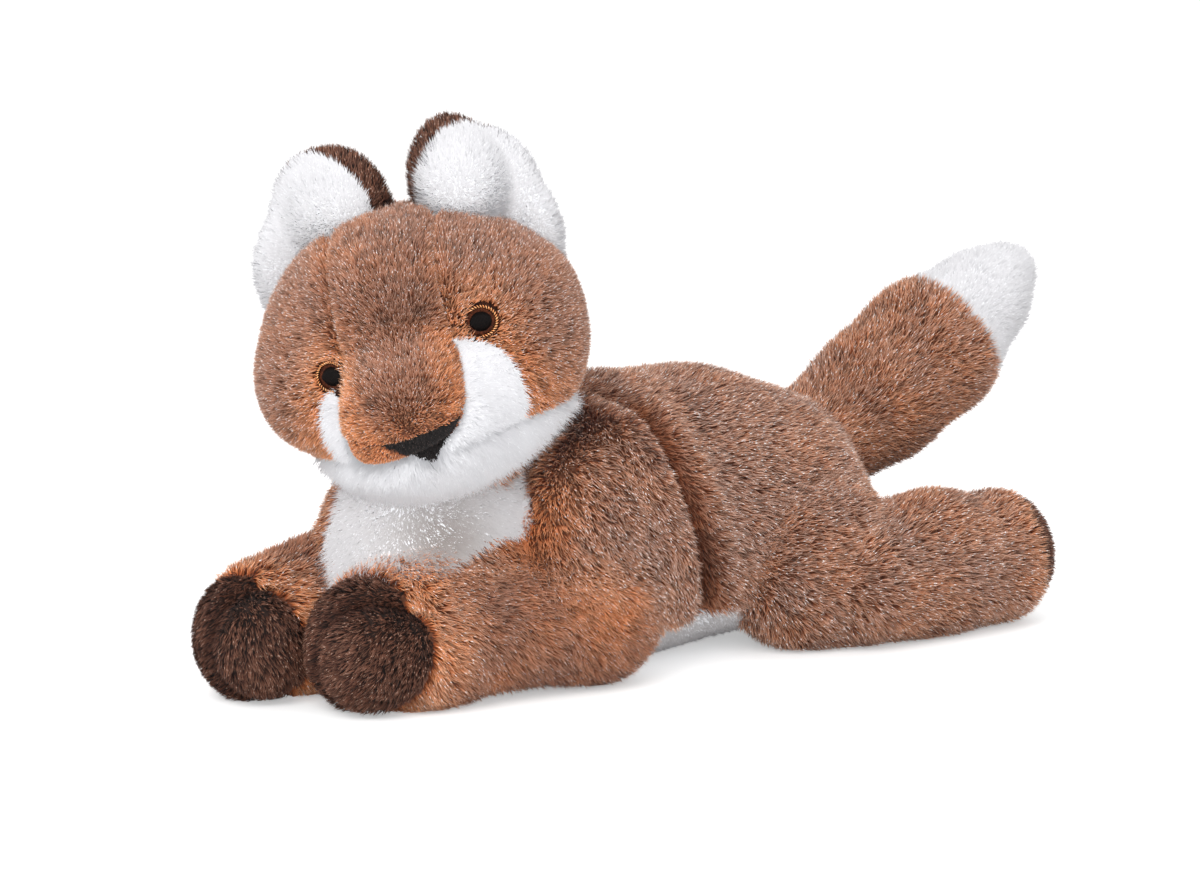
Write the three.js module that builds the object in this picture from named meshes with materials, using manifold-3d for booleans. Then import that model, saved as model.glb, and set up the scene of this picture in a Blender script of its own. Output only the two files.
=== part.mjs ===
// A lying plush fox, about 34 cm long: sewn fabric panels around loose fibre filling.
// Millimetres, +Z up. The fox looks towards -Y, its left side is +X, and it lies on the plane z = 0.
// The origin is on the floor, under the middle of the belly.

import * as THREE from "three";
import { mergeVertices } from "three/addons/utils/BufferGeometryUtils.js";
import Module from "manifold-3d";

const wasm = await Module();
wasm.setup();

// Fabric and seams
const fabric = 4; // thickness of the plush: its backing and the pressed part of its pile
const seamGap = 0.3; // free space along every seam
const fillingDepth = fabric + seamGap; // from the outside of the skin to the filling
const blankMargin = 1.6; // how far neighbours keep from a moving form
const sink = 0.5; // depth by which the resting surfaces are pressed flat

// Neck, where head and trunk meet
const neckPivot = new THREE.Vector3(0, -62, 84);
const neckRadius = 22;
const neckGap = 1; // the ball of fibre turns in its sockets
const headTurn = 20; // degrees either way
const headNod = 8; // degrees either way

// Head: place and turn
const headCentre = new THREE.Vector3(2.5, -79, 126.5);
const headYaw = 44; // degrees towards its left
const headRoll = 14; // degrees, left side up
const headPitch = 3; // degrees, nose down
const faceSkew = 4.5; // degrees by which the face is sewn askew, its left side up

// Ears, in the frame of the head
const earFold = 20; // degrees forwards and backwards
const earRoot = new THREE.Vector3(30, 16, 22);
const earLean = 12; // degrees outwards from upright
const earSkew = -6; // degrees by which the pair of ears leans to the left side
const earSlope = 38; // degrees by which the seam falls outwards

// Front legs: elbow and paw on the floor plan, and the directions (azimuth, elevation) that the
// pad and the seam of the cuff face; the cuff lies this far ahead of the middle of the paw
const frontSwing = 28; // degrees outwards
const frontLeg = {
  left: { elbow: [31, -26], paw: [13, -106], pad: [57, -8], cuff: { faces: [22, -9], ahead: 2 } },
  right: { elbow: [-31, -44], paw: [-26, -125], pad: [66, -3], cuff: { faces: [19, -15], ahead: 0.5 } },
};
const wristBehindPaw = 21;

// Hind legs
const hindSwing = 12; // degrees either way
const hindLeg = { hip: [30, 66], foot: [56, 152] };

// Tail
const tailRoot = new THREE.Vector3(0, 92, 56);
const tailLift = 20; // degrees down and up

const left = new THREE.Vector3(1, 0, 0);
const up = new THREE.Vector3(0, 0, 1);
const rad = THREE.MathUtils.degToRad;
const vec = (point) => (point.isVector3 ? point.clone() : new THREE.Vector3(...point));

// An egg-shaped swelling: distance below zero is inside.
function egg(centre, halfSizes, turn = [0, 0, 0]) {
  const middle = vec(centre);
  const half = vec(halfSizes);
  const back = new THREE.Quaternion().setFromEuler(new THREE.Euler(...turn.map(rad))).invert();
  const scaled = new THREE.Vector3();
  return (point) => {
    scaled.copy(point).sub(middle).applyQuaternion(back).divide(half);
    const reach = scaled.length();
    const slope = scaled.divide(half).length();
    return slope < 1e-9 ? -Math.min(half.x, half.y, half.z) : (reach * (reach - 1)) / slope;
  };
}

// A limb that tapers evenly from one round end to the other.
function taper(start, startRadius, end, endRadius) {
  const from = vec(start);
  const run = vec(end).sub(from);
  const offset = new THREE.Vector3();
  return (point) => {
    offset.copy(point).sub(from);
    const along = THREE.MathUtils.clamp(offset.dot(run) / run.lengthSq(), 0, 1);
    const radius = THREE.MathUtils.lerp(startRadius, endRadius, along);
    return offset.addScaledVector(run, -along).length() - radius;
  };
}

// Several swellings flow into one stuffed form, softened over the given width.
function stuffed(lobes, softness) {
  return (point) => {
    const total = lobes.reduce((sum, lobe) => sum + Math.exp(-lobe(point) / softness), 0);
    return -softness * Math.log(total);
  };
}

function toSolid(geometry) {
  const plain = geometry.clone();
  plain.deleteAttribute("normal");
  plain.deleteAttribute("uv");
  const merged = mergeVertices(plain, 1e-4);
  const vertProperties = new Float32Array(merged.getAttribute("position").array);
  const triVerts = new Uint32Array(merged.index.array);
  return new wasm.Manifold(new wasm.Mesh({ numProp: 3, vertProperties, triVerts }));
}

function toGeometry(solid) {
  const { vertProperties, triVerts } = solid.getMesh();
  const geometry = new THREE.BufferGeometry();
  geometry.setAttribute("position", new THREE.BufferAttribute(new Float32Array(vertProperties), 3));
  geometry.setIndex(new THREE.BufferAttribute(new Uint32Array(triVerts), 1));
  geometry.computeVertexNormals();
  return geometry;
}

// The surface of a form, found along rays from its middle; depth moves it inwards.
function wrap({ middle, reach, detail, surface }, depth = 0) {
  const shell = new THREE.IcosahedronGeometry(1, detail);
  const place = shell.getAttribute("position");
  const ray = new THREE.Vector3();
  const point = new THREE.Vector3();
  for (let i = 0; i < place.count; i += 1) {
    ray.fromBufferAttribute(place, i).multiply(reach);
    let near = 0;
    let far = 2;
    for (let step = 0; step < 24; step += 1) {
      const half = (near + far) / 2;
      point.copy(middle).addScaledVector(ray, half);
      if (surface(point) + depth < 0) near = half;
      else far = half;
    }
    point.copy(middle).addScaledVector(ray, near);
    place.setXYZ(i, point.x, point.y, point.z);
  }
  return toSolid(shell);
}

// The form moved up or down until its lowest point is just below the floor, where it will be pressed flat.
function settled(form) {
  const lift = new THREE.Vector3(0, 0, -sink - wrap(form).boundingBox().min[2]);
  const surface = (point) => form.surface(point.clone().sub(lift));
  return { ...form, middle: form.middle.clone().add(lift), surface };
}

// A direction on the front of the toy: azimuth from straight ahead towards its left, and elevation.
function towards([azimuth, elevation]) {
  const flat = Math.cos(rad(elevation));
  const ahead = -Math.cos(rad(azimuth)) * flat;
  return new THREE.Vector3(Math.sin(rad(azimuth)) * flat, ahead, Math.sin(rad(elevation)));
}

// Everything on the side of a plane that its normal points to, as a large block.
function beyond(point, normal) {
  const size = 900;
  const block = new THREE.BoxGeometry(size, size, size);
  const outward = vec(normal).normalize();
  const turn = new THREE.Quaternion().setFromUnitVectors(new THREE.Vector3(0, 0, 1), outward);
  block.translate(0, 0, size / 2).applyQuaternion(turn);
  const foot = vec(point).addScaledVector(outward, seamGap / 2);
  return toSolid(block.translate(foot.x, foot.y, foot.z));
}

function block(low, high) {
  const size = high.map((value, i) => value - low[i]);
  const box = new THREE.BoxGeometry(...size);
  return toSolid(box.translate(...low.map((value, i) => value + size[i] / 2)));
}

function ball(centre, radius, detail = 2) {
  const sphere = new THREE.IcosahedronGeometry(radius, detail);
  return toSolid(sphere.translate(...vec(centre).toArray()));
}

function turned(solid, pivot, axis, degrees) {
  const matrix = new THREE.Matrix4().makeTranslation(pivot.x, pivot.y, pivot.z);
  matrix.multiply(new THREE.Matrix4().makeRotationAxis(vec(axis).normalize(), rad(degrees)));
  matrix.multiply(new THREE.Matrix4().makeTranslation(-pivot.x, -pivot.y, -pivot.z));
  return solid.transform(matrix.elements);
}

// The largest of the separate bodies that a cut may leave.
function largest(solid) {
  const { vertProperties: places, triVerts } = solid.getMesh();
  const owner = Array.from({ length: places.length / 3 }, (_, i) => i);
  const find = (i) => {
    while (owner[i] !== i) i = owner[i] = owner[owner[i]];
    return i;
  };
  for (let i = 0; i < triVerts.length; i += 3) {
    owner[find(triVerts[i + 1])] = find(triVerts[i]);
    owner[find(triVerts[i + 2])] = find(triVerts[i]);
  }
  const corner = (i) => new THREE.Vector3().fromArray(places, 3 * triVerts[i]);
  const bodies = new Map();
  for (let i = 0; i < triVerts.length; i += 3) {
    const body = find(triVerts[i]);
    if (!bodies.has(body)) bodies.set(body, { volume: 0, faces: [] });
    const entry = bodies.get(body);
    entry.volume += corner(i).dot(corner(i + 1).cross(corner(i + 2)));
    entry.faces.push(triVerts[i], triVerts[i + 1], triVerts[i + 2]);
  }
  if (bodies.size === 1) return solid;
  const { faces } = [...bodies.values()].sort((a, b) => b.volume - a.volume)[0];
  const geometry = new THREE.BufferGeometry();
  geometry.setAttribute("position", new THREE.Float32BufferAttribute(places, 3));
  geometry.setIndex(faces);
  return toSolid(geometry.toNonIndexed());
}

const joined = (solids) => solids.reduce((sum, solid) => sum.add(solid));
const cutBy = (solid, cutters) => cutters.reduce((rest, cutter) => rest.subtract(cutter), solid);

// Fillings and skins: the two shells of a stuffed form, both cut by the same neighbours.
function skinAndFilling(form, cutters) {
  const outside = cutBy(wrap(form), cutters);
  const within = { ...form, detail: Math.floor(form.detail / 2) };
  return {
    skin: outside.subtract(wrap(within, fabric)),
    filling: cutBy(wrap(within, fillingDepth), cutters),
  };
}

// The space that a solid passes through while it turns about an axis.
function swept(solid, pivot, axis, angles) {
  return joined(angles.map((angle) => turned(solid, pivot, axis, angle)));
}

const model = new THREE.Group();
model.name = "plush_fox";

const finishes = {
  brown: { color: 0x8a6a58, roughness: 0.9 },
  dark: { color: 0x3e2a22, roughness: 0.9 },
  white: { color: 0xeeeff2, roughness: 0.9 },
  nose: { color: 0x1c1414, roughness: 0.7 },
  copper: { color: 0xbe7850, roughness: 0.4 },
  fibre: { color: 0xf4f2ec, roughness: 0.95 },
};

function add(group, name, solid, finish) {
  const material = new THREE.MeshStandardMaterial({ ...finishes[finish], metalness: 0 });
  const mesh = new THREE.Mesh(toGeometry(largest(solid)), material);
  mesh.name = name;
  group.add(mesh);
}

const floor = block([-300, -300, -60], [300, 300, 0]);

// Head, in its own frame: skull, cheeks, brow, muzzle, jaw and throat.
const headGroup = new THREE.Group();
headGroup.position.copy(headCentre);
headGroup.rotation.set(rad(headPitch), rad(-headRoll), rad(headYaw), "ZYX");
headGroup.updateMatrix();
model.add(headGroup);

const headForm = {
  middle: new THREE.Vector3(0, -2, -4),
  reach: new THREE.Vector3(54, 50, 46),
  detail: 6,
  surface: stuffed(
    [
      egg([0, 5, 2], [48, 39, 37]),
      egg([33, -5, -11], [21.5, 25, 24]),
      egg([-33, -5, -11], [20, 25, 24]),
      egg([0, -9, 12], [31, 29, 26]),
      egg([0, -35, -15], [18, 21, 16]),
      egg([0, -24, -27], [26, 24, 14]),
      egg([0, -2, -34], [33, 30, 15]),
    ],
    5,
  ),
};
// The plain outside that neighbours keep clear of.
const headBlank = wrap({ ...headForm, detail: 4 }, -blankMargin);

const neckInHead = neckPivot.clone().applyMatrix4(headGroup.matrix.clone().invert());
const neckSocket = ball([0, 0, 0], neckRadius + neckGap);
const headParts = skinAndFilling(headForm, [neckSocket.translate(neckInHead.toArray())]);

// A point of the front view, turned about the line that runs from nose to nape.
function askew([x, z], degrees) {
  return new THREE.Vector2(x, z).rotateAround(new THREE.Vector2(), rad(degrees));
}

// The outline of a panel as seen from the front, pushed through the head from front to back.
function fromFront(points, front, back) {
  const outline = new THREE.Shape(points.map((point) => askew(point, faceSkew)));
  const prism = new THREE.ExtrudeGeometry(outline, { depth: back - front, bevelEnabled: false });
  prism.rotateX(Math.PI / 2); // the outline's second axis becomes +Z, and the push runs towards -Y
  return toSolid(prism.translate(0, back, 0));
}

function ellipse(centre, halfSizes, count = 20) {
  return Array.from({ length: count }, (_, i) => {
    const angle = (2 * Math.PI * i) / count;
    return [centre[0] + halfSizes[0] * Math.cos(angle), centre[1] + halfSizes[1] * Math.sin(angle)];
  });
}

const grown = (halfSizes, by) => halfSizes.map((value) => value + by);
const muzzleFront = -80;
const muzzleBack = -20;
const snout = { centre: [-1.2, -12], half: [19.3, 20] };
const jowl = { centre: [2.5, -20], half: [32.5, 22] };
const nose = { middle: [1, -28.4], corners: [[-13.5, 4.4], [13.5, 4.4], [0, -7.6]] };
const noseOutline = (scale) =>
  nose.corners.map((corner) => corner.map((value, i) => nose.middle[i] + value * scale));

const snoutHole = fromFront(ellipse(snout.centre, grown(snout.half, seamGap / 2)), muzzleFront, muzzleBack);
const snoutPlug = fromFront(ellipse(snout.centre, grown(snout.half, -seamGap / 2)), muzzleFront, muzzleBack);
const jowlHole = fromFront(ellipse(jowl.centre, grown(jowl.half, seamGap / 2)), muzzleFront, muzzleBack);
const jowlPlug = fromFront(ellipse(jowl.centre, grown(jowl.half, -seamGap / 2)), muzzleFront, muzzleBack);
const noseHole = fromFront(noseOutline(1), muzzleFront, muzzleBack);
const nosePlug = fromFront(noseOutline(0.96), muzzleFront, muzzleBack);

const gussetHalf = 18;
const jawLine = -31;
const aboveJaw = beyond([0, 0, jawLine], up);
const belowJaw = beyond([0, 0, jawLine], up.clone().negate());

const upperSkin = headParts.skin.intersect(aboveJaw).subtract(jowlHole).subtract(snoutHole);
const insideLeft = beyond([gussetHalf, 0, 0], [-1, 0, 0]);
const insideRight = beyond([-gussetHalf, 0, 0], [1, 0, 0]);
add(headGroup, "forehead_gusset", upperSkin.intersect(insideLeft).intersect(insideRight), "brown");
add(headGroup, "left_cheek_panel", upperSkin.intersect(beyond([gussetHalf, 0, 0], [1, 0, 0])), "brown");
add(headGroup, "right_cheek_panel", upperSkin.intersect(beyond([-gussetHalf, 0, 0], [-1, 0, 0])), "brown");

const jowls = headParts.skin.intersect(aboveJaw).intersect(jowlPlug).subtract(snoutHole).subtract(noseHole);
add(headGroup, "left_jowl_panel", jowls.intersect(beyond([0, 0, 0], [1, 0, 0])), "white");
add(headGroup, "right_jowl_panel", jowls.intersect(beyond([0, 0, 0], [-1, 0, 0])), "white");
add(headGroup, "muzzle_top_panel", headParts.skin.intersect(snoutPlug).subtract(noseHole), "brown");
add(headGroup, "nose_patch", headParts.skin.intersect(nosePlug), "nose");
add(headGroup, "throat_ruff", cutBy(headParts.skin.intersect(belowJaw), [snoutHole, noseHole]), "white");
add(headGroup, "head_filling", headParts.filling, "fibre");

// Eyes: round embroidered patches that lie on the skin, proud by the height of the thread.
const eye = { left: [28, 2], right: [-22.5, -0.5], radius: 7, thread: 1.4, depth: 31 };
for (const side of ["left", "right"]) {
  const place = askew(eye[side], faceSkew);
  const start = 0.4 * place.x; // where the way that the eye looks begins, on the plane between the ears
  const tilt = Math.atan((place.x - start) / eye.depth);
  const disc = new THREE.CylinderGeometry(eye.radius, eye.radius, 40, 16);
  const core = toSolid(disc.translate(0, -40, 0).rotateZ(tilt).translate(start, 0, place.y));
  const patch = wrap(headForm, -eye.thread - seamGap).subtract(wrap(headForm, -seamGap)).intersect(core);
  add(headGroup, `${side}_eye`, patch, "copper");
}

// Ears: flat pockets that fold on the seam where they meet the head.
const liningTurn = { left: 19, right: -9 }; // degrees by which each lining faces outwards
function earForm(sign) {
  const lobe = (x, z, halfSizes) => {
    const place = askew([sign * x, z], earSkew);
    return egg([place.x, earRoot.y, place.y], halfSizes, [0, sign * earLean - earSkew, 0]);
  };
  const middle = askew([sign * 30, 36], earSkew);
  return {
    middle: new THREE.Vector3(middle.x, earRoot.y, middle.y),
    reach: new THREE.Vector3(24, 7, 30),
    detail: 3,
    surface: stuffed([lobe(28.5, 37, [22, 6, 28]), lobe(39, 26, [14, 6, 24])], 1.5),
  };
}
for (const [side, sign] of [["left", 1], ["right", -1]]) {
  const form = earForm(sign);
  const root = new THREE.Vector3(sign * earRoot.x, earRoot.y, earRoot.z);
  const seam = new THREE.Vector3(Math.cos(rad(earSlope)), 0, -sign * Math.sin(rad(earSlope)));
  const keepClear = swept(headBlank, root, seam, [-earFold, earFold]);
  const ear = wrap(form).subtract(keepClear);
  const facing = towards([liningTurn[side], 0]);
  add(headGroup, `${side}_ear_lining`, ear.intersect(beyond(form.middle, facing)), "white");
  add(headGroup, `${side}_ear_back`, ear.intersect(beyond(form.middle, facing.negate())), "dark");
}

// Trunk: chest under the head, shoulders, barrel and rump.
const trunkForm = settled({
  middle: new THREE.Vector3(0, 0, 48),
  reach: new THREE.Vector3(50, 105, 50),
  detail: 6,
  surface: stuffed(
    [
      egg([-6, -66, 45], [36, 37, 40]),
      egg([32, -19, 45], [17, 32, 42]),
      egg([-33, -44, 43], [16, 36, 41]),
      egg([2, 0, 49], [40, 54, 49.2]),
      egg([0, 42, 48.5], [43, 50, 46.8]),
      egg([0, 76, 42.6], [45, 38, 41]),
      egg([2, 10, 21], [34, 68, 21.4]),
    ],
    4,
  ),
});
const across = new THREE.Vector3(1, 0, 0);
const nodAxis = new THREE.Vector3(Math.cos(rad(headYaw)), Math.sin(rad(headYaw)), 0);
const intoHead = headGroup.matrix.clone().invert();
const headTurns = [-headTurn, -headTurn / 2, 0, headTurn / 2, headTurn];
const headPoses = headTurns.flatMap((turn) => [-headNod, headNod].map((nod) => ({ turn, nod })));
// The head's form over all its turns and nods, which the trunk keeps clear of.
const headSpace = wrap(
  {
    middle: headCentre,
    reach: new THREE.Vector3(60, 60, 60),
    detail: 6,
    surface: (point) => {
      const clearances = headPoses.map(({ turn, nod }) => {
        const seen = point.clone().sub(neckPivot).applyAxisAngle(up, rad(-turn));
        seen.applyAxisAngle(nodAxis, rad(-nod)).add(neckPivot).applyMatrix4(intoHead);
        return headForm.surface(seen);
      });
      return Math.min(...clearances);
    },
  },
  -blankMargin,
);
const neckSpace = neckSocket.translate(neckPivot.toArray());
const trunk = skinAndFilling(trunkForm, [floor, headSpace, neckSpace]);
const trunkBlank = wrap(trunkForm, -blankMargin);

const bellyLine = 19;
const chest = { right: -13, left: 33, back: -48 };
const crease = { point: [0, 13, 42], normal: [0, 1, 0.35] };
const aboveBelly = trunk.skin.intersect(beyond([0, 0, bellyLine], up));
const ahead = beyond(crease.point, crease.normal.map((value) => -value));
const behind = beyond(crease.point, crease.normal);
const chestBlock = block([chest.right, -300, -50], [chest.left, chest.back, 200]);
const chestRim = [chest.right - seamGap, chest.left + seamGap, chest.back + seamGap];
const chestHole = block([chestRim[0], -300, -50], [chestRim[1], chestRim[2], 200]);
const onLeft = beyond([0, 0, 0], left);
const onRight = beyond([0, 0, 0], left.clone().negate());
const shoulders = aboveBelly.intersect(ahead).subtract(chestHole);
add(model, "left_shoulder_panel", shoulders.intersect(onLeft), "brown");
add(model, "right_shoulder_panel", shoulders.intersect(onRight), "brown");
add(model, "chest_panel", aboveBelly.intersect(chestBlock), "white");
add(model, "left_back_panel", aboveBelly.intersect(behind).intersect(onLeft), "brown");
add(model, "right_back_panel", aboveBelly.intersect(behind).intersect(onRight), "brown");
add(model, "belly_panel", trunk.skin.intersect(beyond([0, 0, bellyLine], up.clone().negate())), "white");
add(model, "body_filling", trunk.filling, "fibre");
add(model, "neck_filling", ball(neckPivot, neckRadius), "fibre");

// Front legs: sleeve, paw band and paw pad over one filling, swinging about an upright axis.
for (const [side, sign] of [["left", 1], ["right", -1]]) {
  const { elbow, paw, pad, cuff } = frontLeg[side];
  const run = new THREE.Vector3(paw[0] - elbow[0], paw[1] - elbow[1], 0).normalize();
  const wrist = [paw[0] - run.x * wristBehindPaw, paw[1] - run.y * wristBehindPaw];
  const form = settled({
    middle: new THREE.Vector3((elbow[0] + paw[0]) / 2, (elbow[1] + paw[1]) / 2, 22),
    reach: new THREE.Vector3(24, 58, 28),
    detail: 4,
    surface: stuffed(
      [
        taper([...elbow, 23], 21.5, [...wrist, 22.5], 18.5),
        egg([...wrist, 25], [18.5, 23, 24.3]),
        taper([...wrist, 22], 18.5, [...paw, 21], 18),
        egg([...paw, 21.8], [18.5, 20, 21.5]),
      ],
      2.5,
    ),
  });
  const pivot = new THREE.Vector3(...elbow, 0);
  const keepClear = swept(trunkBlank, pivot, up, [0, sign * -frontSwing]);
  const leg = skinAndFilling(form, [floor, keepClear]);
  const cuffFacing = towards(cuff.faces);
  const cuffSeam = new THREE.Vector3(...paw, 22).addScaledVector(cuffFacing, cuff.ahead);
  const facing = towards(pad);
  const padSeam = new THREE.Vector3(...paw, 22).addScaledVector(facing, 9);
  const darkEnd = leg.skin.intersect(beyond(cuffSeam, cuffFacing));
  const sleeve = leg.skin.intersect(beyond(cuffSeam, cuffFacing.clone().negate()));
  add(model, `${side}_front_sleeve`, sleeve, "brown");
  add(model, `${side}_front_paw_band`, darkEnd.intersect(beyond(padSeam, facing.clone().negate())), "dark");
  add(model, `${side}_front_paw_pad`, darkEnd.intersect(beyond(padSeam, facing)), "dark");
  add(model, `${side}_front_leg_filling`, leg.filling, "fibre");
}

// Hind legs: one skin from haunch to heel and a sole, swinging about an upright axis.
for (const [side, sign] of [["left", 1], ["right", -1]]) {
  const hip = new THREE.Vector3(sign * hindLeg.hip[0], hindLeg.hip[1], 0);
  const knee = [sign * 50, 88];
  const foot = [sign * hindLeg.foot[0], hindLeg.foot[1]];
  const form = settled({
    middle: new THREE.Vector3(sign * 50, 108, 25),
    reach: new THREE.Vector3(24, 52, 28),
    detail: 4,
    surface: stuffed(
      [
        egg([sign * 40, 74, 28], [20, 30, 28.5]),
        taper([...knee, 23], 20.5, [...foot, 21], 18),
        egg([sign * 52.5, 118, 25.5], [20, 27, 24.6]),
        egg([...foot, 23], [19, 17, 23]),
      ],
      3,
    ),
  });
  const keepClear = swept(trunkBlank, hip, up, [-hindSwing, hindSwing]);
  const leg = skinAndFilling(form, [floor, keepClear]);
  const heel = new THREE.Vector3(...foot, 22).add(new THREE.Vector3(sign * 1, 7, 1));
  const sole = new THREE.Vector3(sign * 0.2, 1, 0.12);
  add(model, `${side}_hind_leg_skin`, leg.skin.intersect(beyond(heel, sole.clone().negate())), "brown");
  add(model, `${side}_hind_sole`, leg.skin.intersect(beyond(heel, sole)), "dark");
  add(model, `${side}_hind_leg_filling`, leg.filling, "fibre");
}

// Tail: a fat brush with a white tip, lifting about an axis across its root.
const tailForm = {
  middle: new THREE.Vector3(5, 152, 88),
  reach: new THREE.Vector3(24, 50, 40),
  detail: 4,
  surface: stuffed(
    [
      taper([0, 108, 63], 16, [4, 138, 79], 21),
      taper([4, 138, 79], 21, [7, 163, 95], 22.5),
      taper([7, 163, 95], 22.5, [9, 188, 112], 15),
      taper([9, 188, 112], 16, [10, 199, 120], 9),
    ],
    2,
  ),
};
const tailSpace = swept(trunkBlank, tailRoot, across, [-tailLift, tailLift]);
const tail = skinAndFilling(tailForm, [tailSpace]);
const tipSeam = new THREE.Vector3(7.5, 170, 98.7);
const alongTail = new THREE.Vector3(0.05, 0.86, 0.5);
add(model, "tail_skin", tail.skin.intersect(beyond(tipSeam, alongTail.clone().negate())), "brown");
add(model, "tail_tip", tail.skin.intersect(beyond(tipSeam, alongTail)), "white");
add(model, "tail_filling", tail.filling, "fibre");

export default model;
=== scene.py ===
import math

import bpy
import numpy as np
from mathutils import Euler, Matrix, Vector


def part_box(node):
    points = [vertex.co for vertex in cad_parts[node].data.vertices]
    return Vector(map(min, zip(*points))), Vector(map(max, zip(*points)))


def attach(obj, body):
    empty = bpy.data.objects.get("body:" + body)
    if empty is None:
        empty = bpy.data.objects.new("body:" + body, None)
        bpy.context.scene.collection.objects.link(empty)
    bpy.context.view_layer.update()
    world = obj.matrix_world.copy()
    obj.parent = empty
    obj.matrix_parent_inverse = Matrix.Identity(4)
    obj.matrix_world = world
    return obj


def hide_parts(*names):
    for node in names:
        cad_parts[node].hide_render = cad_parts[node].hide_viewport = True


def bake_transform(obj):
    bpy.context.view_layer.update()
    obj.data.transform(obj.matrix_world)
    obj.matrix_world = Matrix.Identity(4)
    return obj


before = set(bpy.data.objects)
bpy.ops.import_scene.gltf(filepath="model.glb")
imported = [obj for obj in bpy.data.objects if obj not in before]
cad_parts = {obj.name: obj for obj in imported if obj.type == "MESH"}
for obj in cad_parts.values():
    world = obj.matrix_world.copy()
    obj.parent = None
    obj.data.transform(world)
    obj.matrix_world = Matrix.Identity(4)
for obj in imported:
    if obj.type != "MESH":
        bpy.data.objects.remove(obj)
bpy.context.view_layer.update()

MM = 0.001

# The studio: a pale floor, three soft lamps and an even white room.
# The camera stands in front of the toy's left shoulder, a little above it.
azimuth, elevation = math.radians(50), math.radians(11)
target = Vector((20, -10.7, 83.1)) * MM
away = Vector((
    math.sin(azimuth) * math.cos(elevation),
    -math.cos(azimuth) * math.cos(elevation),
    math.sin(elevation),
))
camera_distance = 1.5
bpy.ops.object.select_all(action="DESELECT")
bpy.ops.object.camera_add(
    location=target + away * camera_distance,
    rotation=(-away).to_track_quat("-Z", "Y").to_euler(),
)
camera = bpy.context.object
camera.data.sensor_width = 36
camera.data.lens = 128.6
camera.data.clip_start, camera.data.clip_end = 0.1, 60
bpy.context.scene.camera = camera
bpy.context.scene.view_settings.view_transform = "Standard"

bpy.ops.mesh.primitive_circle_add(vertices=96, radius=8, fill_type="NGON", location=(0, 0, -0.0002))
floor = bpy.context.object
floor.name = "studio_floor"


def feed(made, inputs):
    """Gives each of a node's inputs its value, or the output of another node."""
    for key, value in inputs.items():
        if isinstance(value, bpy.types.NodeSocket):
            made.id_data.links.new(value, made.inputs[key])
        else:
            made.inputs[key].default_value = value
    return made


def node(tree, kind, inputs, **settings):
    """A new shader node with these inputs and settings."""
    made = tree.nodes.new("ShaderNode" + kind)
    for key, value in settings.items():
        setattr(made, key, value)
    return feed(made, inputs)


paper = bpy.data.materials.new("studio_paper")
paper.use_nodes = True
tree = paper.node_tree
tree.nodes.clear()
seen = node(tree, "LightPath", {}).outputs["Is Camera Ray"]
matt = node(tree, "BsdfDiffuse", {"Color": (0.86, 0.86, 0.86, 1)})
strength = node(tree, "Math", {0: seen, 1: 0.4}, operation="MULTIPLY")
lift = node(tree, "Emission", {"Color": (1, 1, 1, 1), "Strength": strength.outputs[0]})
both = node(tree, "AddShader", {0: matt.outputs[0], 1: lift.outputs[0]})
node(tree, "OutputMaterial", {"Surface": both.outputs[0]})
floor.data.materials.append(paper)

room = bpy.data.worlds.new("white_room")
bpy.context.scene.world = room
room.use_nodes = True
tree = room.node_tree
tree.nodes.clear()
seen = node(tree, "LightPath", {}).outputs["Is Camera Ray"]
level = node(tree, "Mix", {"Factor": seen, "A": 0.86, "B": 1}, data_type="FLOAT")
glow = node(tree, "Background", {"Color": (1, 1, 1, 1), "Strength": level.outputs["Result"]})
node(tree, "OutputWorld", {"Surface": glow.outputs[0]})

for name, spot, size, power in (
    ("soft_key", (0.7, -1.15, 1.25), 1.0, 15),
    ("soft_top", (0.0, 0.5, 1.6), 1.4, 5),
    ("soft_fill", (1.2, -1.1, 0.5), 1.0, 5),
):
    bpy.ops.object.light_add(type="AREA", location=spot)
    lamp = bpy.context.object
    lamp.name = name
    lamp.data.shape = "DISK"
    lamp.data.size = size
    lamp.data.energy = power
    lamp.rotation_euler = (target - Vector(spot)).to_track_quat("-Z", "Y").to_euler()

# The stuffed head: a ball with full cheeks and a short muzzle, sewn from eight panels of plush.
# It is modelled in its own frame, nose to -Y, and then turned to the toy's left and rolled.
head_centre = np.array([2.5, -79, 126.5])
head_yaw = 44
head_turn = np.array(Euler([math.radians(a) for a in (3, -14, head_yaw)], "XYZ").to_matrix())
face_skew = math.radians(4.5)


def egg(centre, half, lean=0.0):
    """An egg-shaped swelling, leaning about Y; a depth below zero is inside it."""
    centre, half, angle = np.array(centre, float), np.array(half, float), math.radians(lean)

    def depth(points):
        x, y, z = (points - centre).T
        local = np.stack([
            x * math.cos(angle) - z * math.sin(angle),
            y,
            x * math.sin(angle) + z * math.cos(angle),
        ], 1) / half
        reach = np.linalg.norm(local, axis=1)
        return reach * (reach - 1) / np.maximum(np.linalg.norm(local / half, axis=1), 1e-9)

    return depth


def stuffed(lobes, softness):
    """Several swellings that flow into one stuffed form."""
    def depth(points):
        return -softness * np.log(sum(np.exp(-lobe(points) / softness) for lobe in lobes))

    return depth


def vectors_of(items, field):
    """A mesh's vectors of one kind, a row for each vertex or face."""
    found = np.empty(3 * len(items), np.float32)
    items.foreach_get(field, found)
    return found.reshape(-1, 3).astype(float)


def points_of(piece):
    """A mesh's vertices, in millimetres."""
    return vectors_of(piece.data.vertices, "co") / MM


def normals_of(piece):
    return vectors_of(piece.data.vertex_normals, "vector")


def put_points(piece, points):
    """Moves a mesh's vertices to these places, in millimetres."""
    piece.data.vertices.foreach_set("co", (points * MM).astype(np.float32).ravel())
    piece.data.update()


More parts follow.
